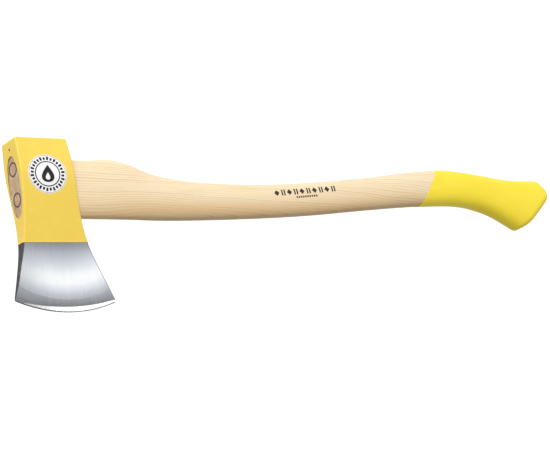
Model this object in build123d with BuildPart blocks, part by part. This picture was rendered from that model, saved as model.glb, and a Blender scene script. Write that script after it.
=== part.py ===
from build123d import *
import os
from math import copysign, cos, pi, sin

os.makedirs("parts", exist_ok=True)

# Axe with a forged, part-painted head on a curved wooden handle. Millimetres.
#
# Frame: the origin is on the middle line of the handle, where it leaves the rear face
# of the head. +X runs along the handle to the knob, +Z runs from the cutting edge up to
# the poll, and the two cheeks of the head face -Y and +Y.

# ---------------------------------------------------------------- driving dimensions

# Side outline of the head, in X and Z.
poll_front_height = 50.3    # the poll's striking face above the handle's middle line:
poll_rear_height = 49.3     # it falls a little towards the rear
front_poll_x = -62.4        # front face of the head, at the poll
front_throat = (-61.6, -48.8)   # where the front face turns out towards the toe
rear_poll_x = -3.6
rear_throat = (3.0, -45.6)      # where the rear face turns out towards the heel
front_throat_radius = 215.0
rear_throat_radius = 163.0
toe = (-81.6, -119.0)
heel = (35.2, -119.6)
corner_radius = 5.0         # rounding of the toe and the heel

# Cutting edge: an arc, ground from both sides as two cones about one axis.
edge_radius = 155.0
edge_low_x = -20.0
edge_low_z = -128.2
edge_half_thickness = 0.12
bevel_height = 5.3
bevel_half_thickness = 1.7
grind_height = 32.0         # reach of the flatter grind above the bevel
grind_half_thickness = 4.5

# Half the head's thickness, from the poll down to the edge, as (half thickness, Z).
cheek_profile = [
    (13.6, 52.0),           # just above the poll
    (16.0, 33.0),
    (16.8, 16.0),
    (15.4, 0.0),
    (12.7, -18.0),
    (9.5, -38.0),
    (6.3, -57.5),
    (4.2, -77.0),
    (3.0, -97.0),
    (2.2, -135.0),
]
head_edge_radius = 1.8      # easing of every forged edge

# Eye: an oval hole along X, wider at the front so that the wedged handle can't slip out.
eye_height_rear, eye_width_rear = 61.0, 20.4
eye_height_front, eye_width_front = 65.0, 23.6
eye_front_rise = 1.5        # the front end's middle above the rear end's
eye_rear_x, eye_front_x = 8.0, -70.0
eye_fullness = 2.2

# Paint on the head, down to a straight line across the blade.
paint_thickness = 0.3
paint_line_z = -57.5

# Dimple left by the hardness test on the front face.
dimple_z = 40.0
dimple_radius = 2.2
dimple_depth = 0.6

# Handle: oval sections across X. Its upper and lower outlines and its width, as (X, mm).
handle_start, handle_end, handle_steps = -12.0, 656.0, 32
handle_top = [
    (-12.0, 30.8),
    (30.0, 31.1),
    (46.0, 31.8),
    (58.0, 31.6),
    (70.0, 28.0),
    (86.0, 21.2),
    (108.0, 14.9),
    (135.0, 10.7),
    (170.0, 8.5),
    (210.0, 7.6),
    (260.0, 8.7),
    (320.0, 12.8),
    (380.0, 18.4),
    (430.0, 24.2),
    (482.0, 27.9),
    (530.0, 23.9),
    (570.0, 18.5),
    (600.0, 17.4),
    (656.0, 19.6),
]
handle_bottom = [
    (-12.0, -30.6),
    (60.0, -31.0),
    (110.0, -31.8),
    (170.0, -30.6),
    (240.0, -28.0),
    (300.0, -24.4),
    (370.0, -18.4),
    (430.0, -14.0),
    (478.0, -12.1),
    (506.0, -12.8),
    (530.0, -17.2),
    (552.0, -24.6),
    (575.0, -37.0),
    (656.0, -83.0),
]
handle_width = [
    (-12.0, 23.6),
    (60.0, 24.5),
    (200.0, 24.0),
    (400.0, 24.8),
    (560.0, 28.4),
    (656.0, 32.0),
]
handle_fullness = 2.5       # 2 is an ellipse, more is squarer

# Knob's slanted end face: where its outline turns, from above the knob to below it, in X
# and Z, with the rounding of the two turns in between and of the rim.
knob_end = [(610.0, 40.0), (632.2, -3.2), (595.5, -35.2), (540.0, -56.0)]
knob_tip_radius = 12.0
knob_heel_radius = 60.0
knob_rim_radius = 7.0
knob_growth = (1.33, -0.16)     # shift that moves the end face outwards by one

# Handle's front end, just inside the front face of the head.
tongue_recess = 0.6

# Wooden wedge, driven into a saw kerf along the eye's long axis.
wedge_half_height = 27.5
wedge_middle_z = 1.3
wedge_depth = 42.0
wedge_thick = 4.6
wedge_thin = 0.8

# Ring wedges: two tapered steel tubes driven into the handle's end.
ring_heights = {"ring_wedge_upper": 20.0, "ring_wedge_lower": -11.8}
ring_outer_radius = 7.5
ring_inner_radius = 6.1
ring_tip_outer_radius = 7.1
ring_tip_inner_radius = 6.7
ring_depth = 24.0
ring_proud = 0.3            # how far the rings stand out of the wood

# Slightly oval sticker on the near cheek.
label_centre_x, label_centre_z = -32.5, 10.8
label_half_width, label_half_height = 22.0, 20.0
label_thickness = 0.15

# Dipped coating over the knob end, with a slanted border.
dip_thickness = 0.3
dip_border_x = 453.6        # where the border crosses Z = 0
dip_border_slope = 0.68     # border's X per millimetre of Z

# ------------------------------------------------------------------ worked-out values

reach = 60.0                # half-length that clears the head on every side
far = 200.0                 # and one that clears the knob
edge_centre_z = edge_low_z + edge_radius
grinding = [                # half outline of the two ground cones, as (Y, Z)
    (edge_half_thickness, edge_low_z),
    (bevel_half_thickness, edge_low_z + bevel_height),
    (grind_half_thickness, edge_low_z + grind_height),
    (reach, edge_centre_z),
]
front_face_x = (front_poll_x + front_throat[0]) / 2
wood_face_x = front_face_x + tongue_recess


# -------------------------------------------------------------------- shared outlines

def oval_points(height, width, fullness, count=20):
    """Points around a superellipse that is `width` across and `height` tall."""
    points = []
    for step in range(count):
        angle = 2 * pi * step / count
        across = copysign(abs(cos(angle)) ** (2 / fullness), cos(angle)) * width / 2
        up = copysign(abs(sin(angle)) ** (2 / fullness), sin(angle)) * height / 2
        points.append((across, up))
    return points


def smooth(table, x):
    """Value at x of a smooth curve through the (x, value) rows of a table."""
    row = 0
    while row < len(table) - 2 and x > table[row + 1][0]:
        row += 1

    def slope(index):
        before = table[max(index - 1, 0)]
        after = table[min(index + 1, len(table) - 1)]
        return (after[1] - before[1]) / (after[0] - before[0])

    (x0, value0), (x1, value1) = table[row], table[row + 1]
    length = x1 - x0
    t = (x - x0) / length
    return (
        (2 * t**3 - 3 * t**2 + 1) * value0
        + (t**3 - 2 * t**2 + t) * length * slope(row)
        + (3 * t**2 - 2 * t**3) * value1
        + (t**3 - t**2) * length * slope(row + 1)
    )


def oval_sketch(x, middle_z, height, width, fullness):
    """Filled oval on the plane across X."""
    plane = Plane(origin=(x, 0, middle_z), x_dir=(0, 1, 0), z_dir=(1, 0, 0))
    with BuildSketch(plane) as section:
        with BuildLine():
            Spline(oval_points(height, width, fullness), periodic=True)
        make_face()
    return section.sketch


def head_body(skin=0.0):
    """Head without its eye; `skin` grows every face outwards by that much."""
    front = [toe, front_throat, (front_poll_x, poll_front_height + skin)]
    rear = [(rear_poll_x, poll_rear_height + skin), rear_throat, heel]
    cheek_points = [(half + skin, z) for half, z in cheek_profile]
    with BuildPart() as body:
        with BuildSketch(Plane.XZ) as side:
            with BuildLine():
                Polyline([(x - skin, z) for x, z in front] + [(x + skin, z) for x, z in rear])
                ThreePointArc(
                    (heel[0] + skin, heel[1]),
                    (edge_low_x, edge_low_z - skin),
                    (toe[0] - skin, toe[1]),
                )
            make_face()
            for corner, radius in (
                (front_throat, front_throat_radius - skin),
                (rear_throat, rear_throat_radius - skin),
                (toe, corner_radius + skin),
                (heel, corner_radius + skin),
            ):
                fillet(side.vertices().sort_by_distance(corner)[0], radius)
        extrude(amount=reach, both=True)
        with BuildSketch(Plane.YZ):
            with BuildLine():
                cheek = Spline(cheek_points)
                Line((0, cheek_points[0][1]), cheek @ 0)
                Line(cheek @ 1, (0, cheek_points[-1][1]))
                mirror(about=Plane.YZ)
            make_face()
        extrude(amount=2 * reach, both=True, mode=Mode.INTERSECT)
        rim = body.edges().filter_by(lambda edge: abs(edge.center().Y) > edge_half_thickness)
        across = body.edges().filter_by(Axis.Y).sort_by(Axis.Z)[-2:]
        fillet(rim + across, head_edge_radius + skin)
    return body.part


def eye_plug():
    """Solid that fills the eye and runs past both faces of the head."""
    with BuildPart() as plug:
        add(oval_sketch(eye_rear_x, 0, eye_height_rear, eye_width_rear, eye_fullness))
        add(oval_sketch(eye_front_x, eye_front_rise, eye_height_front, eye_width_front,
                        eye_fullness))
        loft(ruled=True)
    return plug.part


def handle_body(skin=0.0):
    """Handle outside the head, with its knob; `skin` grows it outwards by that much."""
    with BuildPart() as body:
        for step in range(handle_steps + 1):
            x = handle_start + (handle_end - handle_start) * step / handle_steps
            top = smooth(handle_top, x)
            bottom = smooth(handle_bottom, x)
            width = smooth(handle_width, x)
            add(oval_sketch(x, (top + bottom) / 2, top - bottom + 2 * skin,
                            width + 2 * skin, handle_fullness))
        loft()
        turns = [(x + skin * knob_growth[0], z + skin * knob_growth[1]) for x, z in knob_end]
        behind = handle_end + far
        with BuildSketch(Plane.XZ) as cutter:
            with BuildLine():
                Polyline(turns + [(turns[-1][0], -far), (behind, -far), (behind, turns[0][1])],
                         close=True)
            make_face()
            fillet(cutter.vertices().sort_by_distance(turns[1])[0], knob_tip_radius + skin)
            fillet(cutter.vertices().sort_by_distance(turns[2])[0], knob_heel_radius + skin)
        extrude(amount=reach, both=True, mode=Mode.SUBTRACT)
        rim = body.edges(Select.LAST).filter_by(GeomType.LINE, reverse=True)
        fillet(rim, knob_rim_radius + skin)
    return body.part


# ------------------------------------------------------------------------- the pieces

bare_head = head_body()
painted_head = head_body(paint_thickness)
labelled_head = head_body(paint_thickness + label_thickness)
eye_fill = eye_plug()
with BuildPart() as dimple:
    with Locations((front_face_x - dimple_radius + dimple_depth, 0, dimple_z)):
        Sphere(dimple_radius, rotation=(0, 90, 0))
handle_outside = handle_body()
dipped_handle = handle_body(dip_thickness)

# Forged head, with its eye, ground edge and hardness dimple.
with BuildPart() as axe_head:
    add(bare_head)
    with BuildSketch(Plane.YZ.offset(edge_low_x)):
        with BuildLine():
            Polyline(grinding + [(-y, z) for y, z in reversed(grinding)], close=True)
        make_face()
    grinding_axis = Axis((edge_low_x, 0, edge_centre_z), (0, 1, 0))
    revolve(axis=grinding_axis, mode=Mode.INTERSECT)
    add(eye_fill, mode=Mode.SUBTRACT)
    add(dimple.part, mode=Mode.SUBTRACT)
axe_head.part.label = "axe_head"
export_step(axe_head.part, "parts/axe_head.step")

# Coat of paint over the upper part of the head, open at both ends of the eye.
with BuildPart() as head_paint:
    add(painted_head)
    split(bisect_by=Plane.XY.offset(paint_line_z), keep=Keep.TOP)
    add(bare_head, mode=Mode.SUBTRACT)
    add(eye_fill, mode=Mode.SUBTRACT)
    add(dimple.part, mode=Mode.SUBTRACT)
head_paint.part.label = "head_paint"
export_step(head_paint.part, "parts/head_paint.step")

# Ring wedges: tapered tubes with a thin leading end, driven in from the front.
ring_face_x = wood_face_x - ring_proud
rings = {}
for name, height in ring_heights.items():
    with BuildPart() as ring:
        with BuildSketch(Plane.XZ):
            with BuildLine():
                Polyline(
                    (ring_face_x, height + ring_inner_radius),
                    (ring_face_x, height + ring_outer_radius),
                    (ring_face_x + ring_depth, height + ring_tip_outer_radius),
                    (ring_face_x + ring_depth, height + ring_tip_inner_radius),
                    close=True,
                )
            make_face()
        revolve(axis=Axis((0, 0, height), (1, 0, 0)))
    ring.part.label = name
    export_step(ring.part, f"parts/{name}.step")
    rings[name] = ring.part

# Wooden wedge across the end of the handle, cut through by the ring wedges.
with BuildPart() as eye_wedge:
    with BuildSketch(Plane.XY.offset(wedge_middle_z - wedge_half_height)):
        with BuildLine():
            Polyline(
                (wood_face_x, -wedge_thick / 2),
                (wood_face_x + wedge_depth, -wedge_thin / 2),
                (wood_face_x + wedge_depth, wedge_thin / 2),
                (wood_face_x, wedge_thick / 2),
                close=True,
            )
        make_face()
    extrude(amount=2 * wedge_half_height)
    for ring_part in rings.values():
        add(ring_part, mode=Mode.SUBTRACT)
eye_wedge.part.label = "eye_wedge"
export_step(eye_wedge.part, "parts/eye_wedge.step")

# Handle: the outside, whose shoulder bears on the painted rear face of the head, and the
# tongue that fills the eye.
with BuildPart() as handle:
    add(handle_outside)
    add(painted_head, mode=Mode.SUBTRACT)
    add(eye_fill)
    with Locations((wood_face_x, 0, 0)):
        Box(reach, reach, 2 * reach, align=(Align.MAX, Align.CENTER, Align.CENTER),
            mode=Mode.SUBTRACT)
    add(eye_wedge.part, mode=Mode.SUBTRACT)
    for ring_part in rings.values():
        add(ring_part, mode=Mode.SUBTRACT)
handle.part.label = "handle"
export_step(handle.part, "parts/handle.step")

# Sticker that follows the near cheek.
with BuildPart() as cheek_label:
    with BuildSketch(Plane.XZ):
        with Locations((label_centre_x, label_centre_z)):
            Ellipse(label_half_width, label_half_height)
    extrude(amount=reach)
    add(labelled_head, mode=Mode.INTERSECT)
    add(painted_head, mode=Mode.SUBTRACT)
cheek_label.part.label = "cheek_label"
export_step(cheek_label.part, "parts/cheek_label.step")

# Dipped coating round the knob, up to a slanted border.
with BuildPart() as grip_coating:
    add(dipped_handle)
    border = Plane(origin=(dip_border_x, 0, 0), z_dir=(1, 0, -dip_border_slope))
    split(bisect_by=border, keep=Keep.TOP)
    add(handle_outside, mode=Mode.SUBTRACT)
grip_coating.part.label = "grip_coating"
export_step(grip_coating.part, "parts/grip_coating.step")
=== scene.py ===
from math import cos, pi, radians, sin, tau

import bpy
import bmesh
from mathutils import Matrix, Vector
from mathutils.bvhtree import BVHTree
from mathutils.geometry import convex_hull_2d


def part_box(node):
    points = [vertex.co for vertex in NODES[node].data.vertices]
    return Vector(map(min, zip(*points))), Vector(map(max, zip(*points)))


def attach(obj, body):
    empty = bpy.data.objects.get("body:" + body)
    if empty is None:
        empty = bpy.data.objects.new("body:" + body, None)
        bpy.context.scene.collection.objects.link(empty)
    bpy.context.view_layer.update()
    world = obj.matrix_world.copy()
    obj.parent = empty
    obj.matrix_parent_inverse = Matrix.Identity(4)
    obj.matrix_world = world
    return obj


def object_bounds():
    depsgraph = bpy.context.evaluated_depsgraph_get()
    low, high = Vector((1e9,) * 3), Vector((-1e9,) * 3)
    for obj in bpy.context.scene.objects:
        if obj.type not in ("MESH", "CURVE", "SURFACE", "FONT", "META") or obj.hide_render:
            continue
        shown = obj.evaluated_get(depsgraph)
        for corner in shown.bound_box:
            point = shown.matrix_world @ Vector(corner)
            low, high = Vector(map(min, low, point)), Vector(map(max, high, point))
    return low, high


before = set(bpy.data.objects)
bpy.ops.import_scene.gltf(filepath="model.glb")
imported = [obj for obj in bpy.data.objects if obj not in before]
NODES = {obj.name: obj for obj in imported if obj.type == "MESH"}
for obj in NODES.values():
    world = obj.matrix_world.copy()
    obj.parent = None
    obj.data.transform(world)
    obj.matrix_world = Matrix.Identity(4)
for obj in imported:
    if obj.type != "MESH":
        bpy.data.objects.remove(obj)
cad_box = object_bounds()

# Looks for the axe: metres, +X towards the knob, +Z towards the poll, label on -Y.

# ------------------------------------------------------------------ places, from the frame

head_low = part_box("axe_head")[0]
paint_low, paint_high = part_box("head_paint")
handle_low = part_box("handle")[0]
grip_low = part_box("grip_coating")[0]
label_low, label_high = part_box("cheek_label")

edge_radius = 0.155                        # the cutting edge's arc, seen from the side
edge_low_x = -0.020                        # lowest point of that arc
bevel_height = 0.0053
bevel_corner_height = 0.0012               # what is left of the bevel at the edge's two ends
edge_centre = Vector((edge_low_x, 0, head_low.z + edge_radius))
label_centre = (label_low + label_high) / 2
label_half = (label_high - label_low) / 2
eye_face_x = handle_low.x


# --------------------------------------------------------------------------- node helpers

class Look:
    """A material's node tree, built one call per node."""

    def __init__(self, name, **principled):
        self.material = bpy.data.materials.new(name)
        self.material.use_nodes = True
        self.tree = self.material.node_tree
        self.bsdf = self.tree.nodes["Principled BSDF"]
        self.place = self.tree.nodes.new("ShaderNodeTexCoord").outputs["Object"]
        for socket, value in principled.items():
            self.bsdf.inputs[socket.replace("_", " ")].default_value = value

    def node(self, kind, *inputs, **settings):
        made = self.tree.nodes.new(kind)
        for key, value in settings.items():
            setattr(made, key, value)
        for index, value in enumerate(inputs):
            self.feed(made.inputs[index], value)
        return made

    def feed(self, socket, value):
        if isinstance(value, bpy.types.NodeSocket):
            self.tree.links.new(value, socket)
        elif value is not None:
            socket.default_value = value

    def maths(self, operation, a, b=None, c=None):
        return self.node("ShaderNodeMath", a, b, c, operation=operation).outputs[0]

    def vector(self, operation, a, b=None):
        made = self.node("ShaderNodeVectorMath", a, b, operation=operation)
        return made.outputs["Value" if operation in ("LENGTH", "DOT_PRODUCT") else "Vector"]

    def split(self, vector):
        return self.node("ShaderNodeSeparateXYZ", vector).outputs

    def join(self, x, y, z):
        return self.node("ShaderNodeCombineXYZ", x, y, z).outputs[0]

    def noise(self, where, size=(1, 1, 1), detail=2.0, rough=0.5, seed=0.0):
        """Noise from 0 to 1 whose grains are about `size` metres along X, Y and Z."""
        scaled = self.vector("MULTIPLY", where, [1 / s for s in size])
        moved = self.vector("ADD", scaled, (seed, seed * 1.7, seed * 2.3))
        made = self.node("ShaderNodeTexNoise", moved, noise_dimensions="3D")
        made.inputs["Scale"].default_value = 1.0
        made.inputs["Detail"].default_value = detail
        made.inputs["Roughness"].default_value = rough
        return made.outputs["Fac"]

    def remap(self, value, low, high, to_low=0.0, to_high=1.0, smooth=True):
        made = self.node("ShaderNodeMapRange", clamp=True,
                         interpolation_type="SMOOTHSTEP" if smooth else "LINEAR")
        for socket, item in zip(made.inputs, (value, low, high, to_low, to_high)):
            self.feed(socket, item)
        return made.outputs[0]

    def ramp(self, fac, stops):
        made = self.node("ShaderNodeValToRGB", fac)
        ramp = made.color_ramp
        while len(ramp.elements) < len(stops):
            ramp.elements.new(0.5)
        for element, (position, colour) in zip(ramp.elements, stops):
            element.position = position
            element.color = (*colour, 1)
        return made.outputs[0]

    def mix(self, fac, a, b):
        made = self.node("ShaderNodeMix", data_type="RGBA")
        self.feed(made.inputs[0], fac)
        self.feed(made.inputs[6], a if isinstance(a, bpy.types.NodeSocket) else (*a, 1))
        self.feed(made.inputs[7], b if isinstance(b, bpy.types.NodeSocket) else (*b, 1))
        return made.outputs[2]

    def bump(self, height, distance, strength=1.0, over=None):
        made = self.node("ShaderNodeBump")
        made.inputs["Strength"].default_value = strength
        made.inputs["Distance"].default_value = distance
        self.feed(made.inputs["Height"], height)
        if over is not None:
            self.feed(made.inputs["Normal"], over)
        return made.outputs[0]

    def edges(self, radius):
        """Near 0 on flat faces and more where a face turns within `radius`."""
        rounded = self.node("ShaderNodeBevel", samples=6)
        rounded.inputs["Radius"].default_value = radius
        plain = self.node("ShaderNodeNewGeometry").outputs["Normal"]
        return self.maths("SUBTRACT", 1.0, self.vector("DOT_PRODUCT", rounded.outputs[0], plain))

    def facing(self):
        """X, Y and Z of the surface's direction."""
        return self.split(self.node("ShaderNodeNewGeometry").outputs["Normal"])

    def end_grain(self, x, y, z):
        """Brown end grain: growth rings cut across, pores, and darker stains."""
        off = self.join(0.0, self.maths("ADD", y, 0.035), self.maths("ADD", z, 0.10))
        rings = self.maths("FRACT", self.maths("MULTIPLY", self.vector("LENGTH", off), 1 / 0.0024))
        pores = self.noise(self.place, (0.02, 0.0006, 0.0006), 2, seed=7)
        stains = self.noise(self.place, (0.02, 0.006, 0.010), 3, seed=8)
        colour = self.ramp(stains, [(0.30, (0.42, 0.27, 0.20)), (0.5, (0.60, 0.44, 0.26)),
                                    (0.70, (0.72, 0.60, 0.38))])
        colour = self.mix(self.remap(rings, 0.55, 0.95, 0, 0.5), colour, (0.27, 0.165, 0.11))
        return self.mix(self.remap(pores, 0.58, 0.72, 0, 0.6), colour, (0.16, 0.09, 0.06))

    def finish(self, **sockets):
        for socket, value in sockets.items():
            self.feed(self.bsdf.inputs[socket.replace("_", " ")], value)
        return self.material


# ------------------------------------------------------------------------------ materials

def paint_look():
    """Satin yellow paint on forged steel: broad waves, orange peel, painted shade that darkens it
    slightly towards its lower edge, and edges painted paler as a highlight with a little wear.
    """
    look = Look("head_paint_yellow", IOR=1.5, Coat_Weight=0.12, Coat_Roughness=0.22)
    z = look.split(look.place)[2]
    broad = look.noise(look.place, (0.035, 0.035, 0.035), 2)
    mottle = look.noise(look.place, (0.006, 0.006, 0.009), 3, seed=5)
    fine = look.noise(look.place, (0.0009, 0.0009, 0.0009), 2, seed=3)
    # Painted shade: the paint is a little darker towards its lower edge and lighter towards the
    # poll.
    height = look.remap(z, paint_low.z, paint_high.z, smooth=False)
    colour = look.ramp(height, [(0.0, (0.87, 0.620, 0.075)), (0.5, (0.88, 0.625, 0.076)),
                                (1.0, (0.89, 0.645, 0.082))])
    colour = look.mix(look.remap(broad, 0.35, 0.7, 0, 0.5), colour, (0.85, 0.585, 0.064))
    colour = look.mix(look.remap(mottle, 0.5, 0.8, 0, 0.35), colour, (0.93, 0.70, 0.13))
    # Paler along the edges: a painted highlight on the rounded edges, with a little wear.
    edge_wear_and_highlight = look.edges(0.0011)
    colour = look.mix(look.remap(edge_wear_and_highlight, 0.01, 0.12, 0, 0.45), colour, (0.96, 0.80, 0.26))
    peel = look.bump(fine, 0.00006, 0.45)
    waves = look.bump(broad, 0.0008, 0.5, peel)
    rough = look.remap(mottle, 0.3, 0.7, 0.36, 0.50)
    return look.finish(Base_Color=colour, Roughness=rough, Normal=waves)


def steel_look():
    """Ground cheeks with fine lines from poll to edge, polished bevel that narrows to the
    corners, dark line at the very edge, dark scale on the rims, dull paint in the dimple.
    A painted reflection runs in bands across the cheeks, with painted shade below the paint."""
    look = Look("head_ground_steel", Metallic=1.0, Anisotropic=0.55, Anisotropic_Rotation=0.0)
    x, y, z = look.split(look.place)
    below = look.maths("SUBTRACT", z, edge_centre.z)
    along = look.maths("SUBTRACT", x, edge_centre.x)
    from_centre = look.vector("LENGTH", look.join(along, 0.0, below))
    rise = look.maths("SUBTRACT", edge_radius, from_centre)
    fan = look.maths("MULTIPLY", along, look.remap(z, head_low.z, paint_low.z, 0.94, 1.06, False))
    lined = look.join(fan, y, z)
    lines = look.noise(lined, (0.00035, 0.01, 0.030), 4, 0.65)
    streaks = look.noise(lined, (0.0016, 0.01, 0.018), 3, 0.6, seed=4)
    cloud = look.noise(look.place, (0.02, 0.02, 0.012), 2, seed=8)
    reflection_band_height = look.maths("MULTIPLY_ADD", streaks, 0.003, rise)
    # Painted reflection: a bright band across the middle of the cheek, darker towards the bevel
    # and towards the paint, in place of the softboxes' reflection.
    tone = look.ramp(look.remap(reflection_band_height, 0.0, 0.080, smooth=False), [
        (0.00, (0.24, 0.245, 0.27)),
        (0.09, (0.25, 0.26, 0.28)),
        (0.16, (0.40, 0.42, 0.45)),
        (0.23, (0.52, 0.545, 0.59)),
        (0.31, (0.74, 0.78, 0.83)),
        (0.38, (0.93, 0.96, 1.0)),
        (0.45, (0.97, 0.99, 1.0)),
        (0.50, (0.92, 0.96, 1.0)),
        (0.60, (0.76, 0.80, 0.86)),
        (0.74, (0.56, 0.59, 0.65)),
        (0.90, (0.41, 0.43, 0.48)),
        (1.00, (0.37, 0.385, 0.43)),
    ])
    # Painted shade: the steel is darker just below the paint line.
    shade_below_paint = look.remap(z, paint_low.z - 0.012, paint_low.z, 0, 0.55)
    tone = look.mix(shade_below_paint, tone, (0.28, 0.285, 0.30))
    shifted = look.maths("SUBTRACT", along, look.maths("MULTIPLY", cloud, 0.01))
    sides = look.maths("ABSOLUTE", shifted)
    tone = look.mix(look.remap(sides, 0.024, 0.056, 0, 0.45), tone, (0.42, 0.43, 0.48))
    tone = look.mix(look.remap(lines, 0.50, 0.72, 0, 0.16), tone, (0.97, 0.98, 1.0))
    tone = look.mix(look.remap(lines, 0.46, 0.28, 0, 0.20), tone, (0.25, 0.255, 0.28))
    tone = look.mix(look.remap(streaks, 0.55, 0.75, 0, 0.10), tone, (0.93, 0.94, 0.96))
    corner = look.maths("POWER", look.remap(sides, 0.0, 0.058, smooth=False), 2.2)
    ground = look.remap(corner, 0, 1, bevel_height, bevel_corner_height,
                        False)
    polish = look.remap(look.maths("SUBTRACT", rise, ground), 0.0004, -0.0004)
    honed = look.noise(look.join(fan, y, z), (0.0005, 0.01, 0.002), 3, 0.6, seed=6)
    bright = look.ramp(honed, [(0.3, (0.80, 0.81, 0.83)), (0.65, (0.97, 0.975, 0.98))])
    tone = look.mix(polish, tone, bright)
    # Darker along the very edge.
    very_edge_dark = look.remap(rise, 0.0015, 0.0007)
    tone = look.mix(very_edge_dark, tone, (0.11, 0.11, 0.12))
    facing = look.facing()
    scale = look.remap(look.maths("ABSOLUTE", facing[0]), 0.10, 0.45)
    scale_tone = look.ramp(look.noise(look.place, (0.003, 0.003, 0.003), 4, 0.65, seed=2), [
        (0.3, (0.055, 0.053, 0.062)), (0.55, (0.095, 0.092, 0.105)), (0.75, (0.16, 0.15, 0.15))])
    tone = look.mix(scale, tone, scale_tone)
    rough = look.remap(lines, 0.3, 0.7, 0.34, 0.48)
    painted_in = look.remap(z, paint_low.z + 0.001, paint_low.z + 0.002)
    tone = look.mix(painted_in, tone, (0.50, 0.33, 0.05))
    rough = look.remap(polish, 0, 1, rough, 0.20, False)
    rough = look.remap(scale, 0, 1, rough, 0.62, False)
    grooves = look.bump(lines, 0.00006, 0.5)
    pitting = look.noise(look.place, (0.0012, 0.0012, 0.0012), 3, 0.6, seed=9)
    pits = look.bump(pitting, 0.00008, 0.3, grooves)
    return look.finish(Base_Color=tone, Roughness=rough, Normal=pits)


def wood_look():
    """Ash: growth rings round an axis that leans a little, pores drawn out along the grain,
    painted shade on the lower side and along the top and bottom.
    """
    look = Look("handle_ash", IOR=1.45, Coat_Weight=0.06, Coat_Roughness=0.35)
    x, y, z = look.split(look.place)
    drift = look.noise(look.place, (0.22, 0.05, 0.05), 2, seed=1)
    wave = look.noise(look.place, (0.07, 0.02, 0.012), 2, seed=2)
    lean = look.maths("MULTIPLY_ADD", x, 0.030, z)
    lean = look.maths("MULTIPLY_ADD", drift, 0.022, lean)
    lean = look.maths("MULTIPLY_ADD", wave, 0.0016, lean)
    off = look.join(0.0, look.maths("ADD", y, 0.030), look.maths("ADD", lean, 0.085))
    out = look.vector("LENGTH", off)
    rings = look.maths("MULTIPLY", out, 1 / 0.0024)
    ring_part = look.maths("FRACT", rings)
    ring_id = look.maths("FLOOR", rings)
    strength = look.node("ShaderNodeTexWhiteNoise", noise_dimensions="1D")
    look.feed(strength.inputs["W"], ring_id)
    depth = look.remap(strength.outputs["Value"], 0, 1, 0.25, 1.0, False)
    early = look.ramp(ring_part, [(0.0, (0.0,) * 3), (0.62, (0.08,) * 3), (0.84, (0.55,) * 3),
                                  (0.93, (1.0,) * 3), (1.0, (0.0,) * 3)])
    early = look.maths("MULTIPLY", look.split(early)[0], depth)
    pores = look.noise(look.place, (0.012, 0.00035, 0.00035), 3, 0.6, seed=3)
    fibres = look.noise(look.place, (0.05, 0.0009, 0.0009), 4, 0.6, seed=4)
    patches = look.noise(look.place, (0.16, 0.02, 0.014), 2, seed=6)
    colour = look.ramp(patches, [(0.30, (0.84, 0.655, 0.405)), (0.5, (0.88, 0.71, 0.46)),
                                 (0.70, (0.91, 0.75, 0.525))])
    colour = look.mix(look.remap(fibres, 0.35, 0.7, 0, 0.5), colour, (0.93, 0.81, 0.59))
    colour = look.mix(look.maths("MULTIPLY", early, 0.95), colour, (0.50, 0.32, 0.15))
    dashes = look.remap(pores, 0.58, 0.72, 0, 0.55)
    dashes = look.maths("MULTIPLY", dashes, look.remap(early, 0.0, 0.6, 0.35, 1.0))
    colour = look.mix(dashes, colour, (0.50, 0.33, 0.17))
    # Painted shade: the lower side of the handle is painted a deeper, warmer tan.
    middle_line = look.remap(x, 0.19, 0.47, -0.004, 0.008)
    out_low = look.maths("SUBTRACT", z, middle_line)
    low_side_shade = look.remap(out_low, -0.001, -0.022, 0, 0.62)
    low_side_shade = look.maths("MULTIPLY", low_side_shade, look.remap(x, 0.0, 0.10, 0.7, 1.0))
    colour = look.mix(low_side_shade, colour, (0.71, 0.44, 0.18))
    # Painted shade: darker brown where the surface faces up or down, along the handle's top and
    # bottom.
    facing = look.facing()
    rim_shade = look.remap(look.maths("ABSOLUTE", facing[2]), 0.74, 0.97, 0, 0.40)
    colour = look.mix(rim_shade, colour, (0.42, 0.27, 0.12))
    ends = look.end_grain(x, y, z)
    colour = look.mix(look.remap(x, eye_face_x + 0.0012, eye_face_x + 0.0004), colour, ends)
    rough = look.remap(fibres, 0.3, 0.7, 0.42, 0.58)
    relief = look.bump(early, 0.00010, 0.35)
    relief = look.bump(fibres, 0.00006, 0.35, relief)
    return look.finish(Base_Color=colour, Roughness=rough, Normal=relief)


def end_wood_look():
    """End grain of the wedge: close pinkish-brown fibres."""
    look = Look("wedge_beech", IOR=1.45)
    x, y, z = look.split(look.place)
    fibres = look.noise(look.place, (0.004, 0.0005, 0.0025), 3, 0.6)
    pores = look.noise(look.place, (0.01, 0.00035, 0.00035), 2, seed=4)
    colour = look.ramp(fibres, [(0.3, (0.45, 0.25, 0.15)), (0.55, (0.60, 0.36, 0.22)),
                                (0.75, (0.70, 0.48, 0.30))])
    colour = look.mix(look.remap(pores, 0.6, 0.75, 0, 0.6), colour, (0.20, 0.10, 0.07))
    return look.finish(Base_Color=colour, Roughness=0.72, Normal=look.bump(fibres, 0.0002, 0.6))


def ring_look():
    """Dark drawn steel tube with a hammered, faintly rusted mouth."""
    look = Look("ring_dark_steel", Metallic=0.7)
    spots = look.noise(look.place, (0.0016, 0.0016, 0.0016), 4, 0.65)
    colour = look.ramp(spots, [(0.3, (0.075, 0.058, 0.070)), (0.55, (0.13, 0.10, 0.115)),
                               (0.75, (0.22, 0.15, 0.12))])
    rough = look.remap(spots, 0.3, 0.7, 0.35, 0.6)
    return look.finish(Base_Color=colour, Roughness=rough, Normal=look.bump(spots, 0.0002, 0.5))


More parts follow.
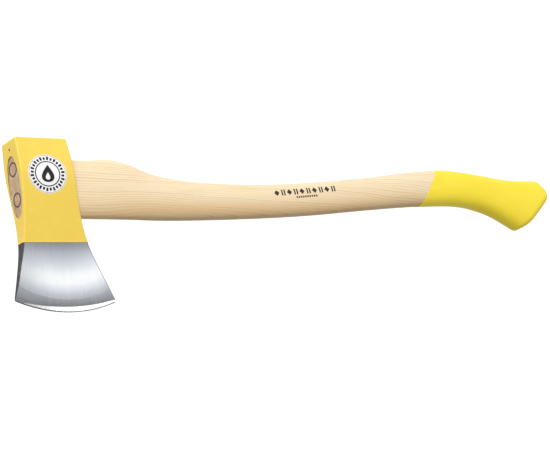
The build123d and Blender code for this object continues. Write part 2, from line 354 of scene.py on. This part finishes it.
def film_look():
    """White printed film: faint paper tone, slight tack-down ripples."""
    look = Look("label_white_film", IOR=1.45, Coat_Weight=0.2, Coat_Roughness=0.15)
    ripple = look.noise(look.place, (0.009, 0.009, 0.006), 2)
    grain = look.noise(look.place, (0.0004, 0.0004, 0.0004), 2, seed=2)
    colour = look.ramp(ripple, [(0.3, (0.86, 0.86, 0.88)), (0.7, (0.92, 0.92, 0.93))])
    rough = look.remap(grain, 0.3, 0.7, 0.30, 0.42)
    return look.finish(Base_Color=colour, Roughness=rough, Normal=look.bump(ripple, 0.0002, 0.35))


def dip_look():
    """Satin dipped coating: lemon yellow, slow sags along the handle, tiny skin texture,
    painted shade towards the lower side.
    """
    look = Look("dip_lemon", IOR=1.45, Coat_Weight=0.08, Coat_Roughness=0.25)
    z = look.split(look.place)[2]
    sags = look.noise(look.place, (0.045, 0.018, 0.022), 2)
    skin = look.noise(look.place, (0.0016, 0.0012, 0.0012), 3, 0.55, seed=2)
    colour = look.ramp(sags, [(0.3, (0.92, 0.720, 0.020)), (0.55, (0.94, 0.745, 0.028)),
                              (0.75, (0.95, 0.765, 0.045))])
    # Painted shade: the coating is painted darker towards its lower side.
    low = look.remap(z, grip_low.z + 0.030, grip_low.z, 0, 0.35)
    colour = look.mix(low, colour, (0.80, 0.60, 0.008))
    rough = look.remap(skin, 0.3, 0.7, 0.44, 0.56)
    texture = look.bump(skin, 0.00007, 0.4)
    relief = look.bump(sags, 0.0009, 0.5, texture)
    return look.finish(Base_Color=colour, Roughness=rough, Normal=relief)


def ink_look(name, dark, pale):
    """Printed ink: nearly even, with tiny gaps where the surface shows through."""
    look = Look(name, IOR=1.45)
    specks = look.noise(look.place, (0.00030, 0.00030, 0.00030), 3, 0.6)
    colour = look.ramp(specks, [(0.35, pale), (0.5, dark)])
    rough = look.remap(specks, 0.3, 0.7, 0.75, 0.6)
    return look.finish(Base_Color=colour, Roughness=rough)


looks = {
    "axe_head": steel_look(),
    "head_paint": paint_look(),
    "handle": wood_look(),
    "eye_wedge": end_wood_look(),
    "ring_wedge_upper": ring_look(),
    "cheek_label": film_look(),
    "grip_coating": dip_look(),
}
looks["ring_wedge_lower"] = looks["ring_wedge_upper"]
for name, material in looks.items():
    NODES[name].data.materials.clear()
    NODES[name].data.materials.append(material)

# ------------------------------------------------------------------- printed marks and lips

def surface_of(node):
    """Tree of a CAD node's mesh, for dropping points onto its surface."""
    mesh = NODES[node].data
    return BVHTree.FromPolygons([v.co for v in mesh.vertices], [p.vertices for p in mesh.polygons])


def add_piece(name, verts, faces, material, slot):
    """Smooth mesh with its faces turned outwards, fixed to the axe."""
    mesh = bpy.data.meshes.new(name)
    mesh.from_pydata(verts, [], faces)
    mesh.polygons.foreach_set("use_smooth", [True] * len(mesh.polygons))
    mesh.materials.append(material)
    work = bmesh.new()
    work.from_mesh(mesh)
    bmesh.ops.recalc_face_normals(work, faces=work.faces)
    work.to_mesh(mesh)
    work.free()
    piece = bpy.data.objects.new(name, mesh)
    bpy.context.collection.objects.link(piece)
    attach(piece, "root")


INK_THICKNESS = 0.00004
INK_SUNK = 0.00003
CORE_THICKNESS = 0.00008                   # the white core lies over the black drop


def inked(surface, marks, steps, thickness=INK_THICKNESS):
    """Closed thin solids on the near side of a surface.

    A mark maps (s, t) in 0..1 to (x, z). `steps` counts its cells along s and along t.
    """
    verts, faces = [], []
    across, upward = steps
    for mark in marks:
        start = len(verts)
        for lift in (thickness, -INK_SUNK):
            for row in range(upward + 1):
                for column in range(across + 1):
                    x, z = mark(column / across, row / upward)
                    hit = surface.ray_cast(Vector((x, -1, z)), Vector((0, 1, 0)))[0]
                    verts.append(hit + Vector((0, -lift, 0)))
        count = (across + 1) * (upward + 1)

        def at(row, column, layer):
            return start + layer * count + row * (across + 1) + column

        for row in range(upward):
            for column in range(across):
                faces.append((at(row, column, 0), at(row, column + 1, 0),
                              at(row + 1, column + 1, 0), at(row + 1, column, 0)))
                faces.append((at(row, column, 1), at(row + 1, column, 1),
                              at(row + 1, column + 1, 1), at(row, column + 1, 1)))
        border = ([(0, c) for c in range(across)] + [(r, across) for r in range(upward)]
                  + [(upward, c) for c in range(across, 0, -1)]
                  + [(r, 0) for r in range(upward, 0, -1)])
        for here, after in zip(border, border[1:] + border[:1]):
            faces.append((at(*here, 0), at(*here, 1), at(*after, 1), at(*after, 0)))
    return verts, faces


def label_point(share, angle):
    """Point on the label, its distance from the middle as a share of the label's edge."""
    return (label_centre.x + label_half.x * share * cos(angle),
            label_centre.z + label_half.z * share * sin(angle))


def ring_mark(inner, outer, start, sweep):
    """Piece of a flat ring between two shares of the label's edge, angles in radians."""
    def place(s, t):
        return label_point(inner + (outer - inner) * t, start + sweep * s)
    return place


ink_black = ink_look("ink_black", (0.006, 0.006, 0.007), (0.012, 0.012, 0.013))
ink_grey = ink_look("ink_grey", (0.16, 0.16, 0.17), (0.24, 0.24, 0.25))
ink_faded = ink_look("ink_faded", (0.020, 0.015, 0.011), (0.09, 0.062, 0.040))

label_surface = surface_of("cheek_label")

# Shares of the way from the label's middle to its edge.
OUTLINE_INNER, OUTLINE_OUTER = 0.945, 0.965
RING_INNER, RING_OUTER = 0.600, 0.655
TICK_INNER, TICK_OUTER, TICK_STAGGER = 0.715, 0.895, 0.035

TICKS = 28
TICK_OFFSET, TICK_FILL = 0.22, 0.60        # start and width, as shares of one tick's pitch
QUARTER = tau / 4 * 0.999                  # a hair short, so that the four parts stay apart
quarters = [tau * part / 4 for part in range(4)]

outline_marks = [ring_mark(OUTLINE_INNER, OUTLINE_OUTER, start, QUARTER) for start in quarters]
add_piece("label_outline", *inked(label_surface, outline_marks, (30, 1)), ink_grey,
          "label_film")
ring_marks = [ring_mark(RING_INNER, RING_OUTER, start, QUARTER) for start in quarters]
add_piece("label_ring", *inked(label_surface, ring_marks, (24, 2)), ink_black, "label_film")
tick_marks = [ring_mark(TICK_INNER, TICK_OUTER - TICK_STAGGER * (tick % 2),
                        tau * (tick + TICK_OFFSET) / TICKS, tau / TICKS * TICK_FILL)
              for tick in range(TICKS)]
add_piece("label_ticks", *inked(label_surface, tick_marks, (3, 4)), ink_black, "label_film")

DROP_TIP_GAP = 0.985                       # share of the outline drawn, short of the sharp tip
DROP_TAPER = 1.4
DROP_LEAST_HALF = 0.00005


def drop(width, height, foot, sway):
    """Drop with a round foot, and a tip that leans over by `sway`."""
    def place(s, t):
        turn = pi * (1 - DROP_TIP_GAP * t)
        half = width * sin(turn) * sin(turn / 2) ** DROP_TAPER + DROP_LEAST_HALF
        return (label_centre.x + sway * t * t + (s - 0.5) * 2 * half,
                label_centre.z + foot + height * (1 + cos(turn)) / 2)
    return place


black_drop = drop(width=0.0100, height=0.0180, foot=-0.0086, sway=0.0012)
white_core = drop(width=0.0036, height=0.0076, foot=-0.0062, sway=0.0005)
add_piece("label_drop", *inked(label_surface, [black_drop], (10, 24)), ink_black, "label_film")
add_piece("label_drop_core", *inked(label_surface, [white_core], (8, 16), CORE_THICKNESS),
          looks["cheek_label"], "label_film")

handle_surface = surface_of("handle")
PRINT_START, PRINT_END = 0.243, 0.327
PRINT_FOOT, PRINT_RISE = -0.0078, radians(4.6)
PRINT_MARKS = 10
PRINT_TALL = 0.0066
LOZENGE_HALF_LONG = 0.0034
BAR_LONG, BAR_SLANT = 0.0018, 0.0004
BAR_STARTS = -0.0024, 0.0008               # two bars, from the middle of their place
SMALL_MARKS = 10
SMALL_START, SMALL_PITCH, SMALL_FOOT = 0.0285, 0.0029, -0.0040
SMALL_LONG, SMALL_TALL = 0.0019, 0.0020


def on_print(along, above):
    """(x, z) of a point measured along and above the print's slanting foot line."""
    return (PRINT_START + along * cos(PRINT_RISE) - above * sin(PRINT_RISE),
            PRINT_FOOT + along * sin(PRINT_RISE) + above * cos(PRINT_RISE))


def lozenge(centre, above, half_long, half_tall):
    def place(s, t):
        u, v = s - 0.5, t - 0.5
        return on_print(centre + (u - v) * half_long, above + (u + v) * half_tall)
    return place


def bar(start, above, length, tall, slant=0.0):
    def place(s, t):
        return on_print(start + s * length + t * slant, above + t * tall)
    return place


pitch = (PRINT_END - PRINT_START) / PRINT_MARKS
print_marks = []
for mark in range(PRINT_MARKS):
    middle_x = (mark + 0.5) * pitch
    if mark % 2:
        for shift in BAR_STARTS:
            print_marks.append(bar(middle_x + shift, 0.0, BAR_LONG, PRINT_TALL, BAR_SLANT))
    else:
        print_marks.append(lozenge(middle_x, PRINT_TALL / 2, LOZENGE_HALF_LONG, PRINT_TALL / 2))
add_piece("handle_print", *inked(handle_surface, print_marks, (6, 8)), ink_faded, "handle_wood")
small_marks = [bar(SMALL_START + SMALL_PITCH * step, SMALL_FOOT, SMALL_LONG, SMALL_TALL)
               for step in range(SMALL_MARKS)]
add_piece("handle_print_small", *inked(handle_surface, small_marks, (2, 2)), ink_faded,
          "handle_wood")


LIP_SIDES = 8
LIP_POINTS = 320
LIP_RADIUS = 0.00038
LIP_RISE = 0.0003                          # the bead's middle above the paint's lower edge
LIP_INSET = 0.0001


def lip(name, points, radius, material, slot):
    """Rounded bead along a closed convex outline that lies in one plane."""
    centre = sum(points, Vector()) / len(points)
    normal = (points[0] - centre).cross(points[len(points) // 3] - centre).normalized()
    verts, faces = [], []
    total = len(points)
    for index, point in enumerate(points):
        run = (points[(index + 1) % total] - points[index - 1]).normalized()
        out = run.cross(normal)
        if out.dot(point - centre) < 0:
            out = -out
        for side in range(LIP_SIDES):
            angle = tau * side / LIP_SIDES
            verts.append(point + (out * cos(angle) + normal * sin(angle)) * radius)
    for index in range(total):
        here, following = index * LIP_SIDES, (index + 1) % total * LIP_SIDES
        for side in range(LIP_SIDES):
            after = (side + 1) % LIP_SIDES
            faces.append((here + side, following + side, following + after, here + after))
    add_piece(name, verts, faces, material, slot)


def even_loop(points, count):
    """Closed outline resampled at even steps."""
    lengths = [(points[(i + 1) % len(points)] - p).length for i, p in enumerate(points)]
    whole = sum(lengths)
    loop, index, passed = [], 0, 0.0
    for step in range(count):
        goal = whole * step / count
        while passed + lengths[index] < goal:
            passed += lengths[index]
            index += 1
        share = (goal - passed) / lengths[index]
        loop.append(points[index].lerp(points[(index + 1) % len(points)], share))
    return loop


IN_PLANE = 0.00002


def hull_loop(node, origin, normal, inset):
    """Outline of a node's open end in a plane, drawn in by `inset`."""
    across = Vector((0, 1, 0))
    up = normal.cross(across)
    flat = []
    for vertex in NODES[node].data.vertices:
        away = vertex.co - origin
        if abs(away.dot(normal)) < IN_PLANE:
            flat.append(Vector((away.dot(across), away.dot(up))))
    order = convex_hull_2d(flat)
    middle_2d = sum((flat[i] for i in order), Vector((0, 0))) / len(order)
    loop = []
    for i in order:
        from_middle = flat[i] - middle_2d
        flat_point = flat[i] - from_middle.normalized() * inset
        loop.append(origin + across * flat_point.x + up * flat_point.y)
    return loop


paint_edge = hull_loop("head_paint", Vector((0, 0, paint_low.z)), Vector((0, 0, 1)), LIP_INSET)
paint_edge = [p + Vector((0, 0, LIP_RISE)) for p in even_loop(paint_edge, LIP_POINTS)]
lip("paint_lip", paint_edge, LIP_RADIUS, looks["head_paint"], "head_paint")

# ---------------------------------------------------------------------- floor and backdrop

FLOOR_Z = -1.05
SWEEP_RADIUS = 9.0
SWEEP_BEND = 2.5
SWEEP_TOP = 6.0
SWEEP_STEPS, SWEEP_SIDES = 12, 96
FLOOR_RINGS = 0.0, 0.5, 2.0, 4.5           # radii that divide the flat floor
STAGE_GLOW = 0.50


def make_stage():
    """Round studio sweep: flat floor that bends up into a wall on every side."""
    profile = [(radius, 0.0) for radius in FLOOR_RINGS]
    for step in range(SWEEP_STEPS + 1):
        angle = pi / 2 * step / SWEEP_STEPS
        profile.append((SWEEP_RADIUS - SWEEP_BEND + SWEEP_BEND * sin(angle),
                        SWEEP_BEND - SWEEP_BEND * cos(angle)))
    profile.append((SWEEP_RADIUS, SWEEP_TOP))
    verts, faces = [(0, 0, FLOOR_Z)], []
    for radius, height in profile[1:]:
        for side in range(SWEEP_SIDES):
            angle = tau * side / SWEEP_SIDES
            verts.append((radius * cos(angle), radius * sin(angle), FLOOR_Z + height))
    for side in range(SWEEP_SIDES):
        after = (side + 1) % SWEEP_SIDES
        faces.append((0, 1 + side, 1 + after))
        for row in range(len(profile) - 2):
            low, high = 1 + row * SWEEP_SIDES, 1 + (row + 1) * SWEEP_SIDES
            faces.append((low + side, high + side, high + after, low + after))
    mesh = bpy.data.meshes.new("studio_sweep")
    mesh.from_pydata(verts, [], faces)
    mesh.polygons.foreach_set("use_smooth", [True] * len(mesh.polygons))
    sweep = bpy.data.objects.new("studio_sweep", mesh)
    bpy.context.collection.objects.link(sweep)
    look = Look("studio_pale", Roughness=1.0)
    look.bsdf.inputs["Specular IOR Level"].default_value = 0.0
    tone = look.noise(look.place, (0.8, 0.8, 0.8), 2)
    colour = look.mix(tone, (0.90, 0.90, 0.90), (0.92, 0.92, 0.92))
    look.bsdf.inputs["Emission Color"].default_value = (1, 1, 1, 1)
    look.bsdf.inputs["Emission Strength"].default_value = STAGE_GLOW
    look.finish(Base_Color=colour)
    mesh.materials.append(look.material)
    sweep.visible_diffuse = False
    sweep.visible_glossy = False
    sweep.visible_shadow = False


make_stage()

# ---------------------------------------------------------------------------------- light

AIR_STRENGTH = 0.89
AIR_STOPS = (0.15, 0.50), (0.85, 0.95)     # height in the sky dome, and how bright it is there
AIR_BLUE = 0.98

world = bpy.data.worlds.new("studio_air")
bpy.context.scene.world = world
world.use_nodes = True
air = world.node_tree
fade = air.nodes.new("ShaderNodeValToRGB")
height = air.nodes.new("ShaderNodeSeparateXYZ")
direction = air.nodes.new("ShaderNodeTexCoord")
air.links.new(direction.outputs["Generated"], height.inputs[0])
half_height = air.nodes.new("ShaderNodeMath")
half_height.operation = "MULTIPLY_ADD"
half_height.inputs[1].default_value = 0.5
half_height.inputs[2].default_value = 0.5
air.links.new(height.outputs[2], half_height.inputs[0])
air.links.new(half_height.outputs[0], fade.inputs[0])
for element, (position, grey) in zip(fade.color_ramp.elements, AIR_STOPS):
    element.position = position
    element.color = (grey, grey, grey * AIR_BLUE, 1)
air.links.new(fade.outputs[0], air.nodes["Background"].inputs["Color"])
air.nodes["Background"].inputs["Strength"].default_value = AIR_STRENGTH
middle = (cad_box[0] + cad_box[1]) / 2


def softbox(name, place, size, power, aim=(0, 0, 0)):
    """Area light at a place measured from the middle of the axe, facing `aim`."""
    data = bpy.data.lights.new(name, "AREA")
    data.shape = "RECTANGLE"
    data.size, data.size_y = size
    data.energy = power
    lamp = bpy.data.objects.new(name, data)
    lamp.location = middle + Vector(place)
    lamp.rotation_euler = (Vector(aim) - Vector(place)).to_track_quat("-Z", "Y").to_euler()
    lamp.visible_camera = False
    bpy.context.collection.objects.link(lamp)


softbox("key", (-1.7, -1.8, 1.4), (2.0, 1.4), 46)
softbox("blade_card", (1.35, -2.1, 0.85), (1.6, 0.55), 5, (-0.3, 0, -0.05))
softbox("edge_card", (1.35, -2.1, -0.75), (1.2, 0.35), 2.5, (-0.3, 0, -0.1))
softbox("behind", (0.4, 2.2, 1.6), (2.4, 1.4), 26)

# --------------------------------------------------------------------------------- camera

VIEW_AZIMUTH, VIEW_ELEVATION, VIEW_ROLL = radians(-36.27), radians(-14.15), radians(9.81)
VIEW_DISTANCE = 2.427
VIEW_LENS, VIEW_SENSOR, VIEW_FAR = 159.8, 36, 60
VIEW_TARGET = Vector((0.1502, -0.1305, -0.0769))

back = Vector((sin(VIEW_AZIMUTH) * cos(VIEW_ELEVATION),
               -cos(VIEW_AZIMUTH) * cos(VIEW_ELEVATION),
               sin(VIEW_ELEVATION)))
level = Vector((cos(VIEW_AZIMUTH), sin(VIEW_AZIMUTH), 0))
upright = back.cross(level)
right = level * cos(VIEW_ROLL) - upright * sin(VIEW_ROLL)
up = level * sin(VIEW_ROLL) + upright * cos(VIEW_ROLL)
camera_data = bpy.data.cameras.new("camera")
camera_data.lens = VIEW_LENS
camera_data.sensor_width = VIEW_SENSOR
camera_data.clip_end = VIEW_FAR
camera = bpy.data.objects.new("camera", camera_data)
camera.matrix_world = Matrix((
    (right.x, up.x, back.x, VIEW_TARGET.x + back.x * VIEW_DISTANCE),
    (right.y, up.y, back.y, VIEW_TARGET.y + back.y * VIEW_DISTANCE),
    (right.z, up.z, back.z, VIEW_TARGET.z + back.z * VIEW_DISTANCE),
    (0, 0, 0, 1),
))
bpy.context.collection.objects.link(camera)
bpy.context.scene.camera = camera
bpy.context.scene.view_settings.view_transform = "Standard"
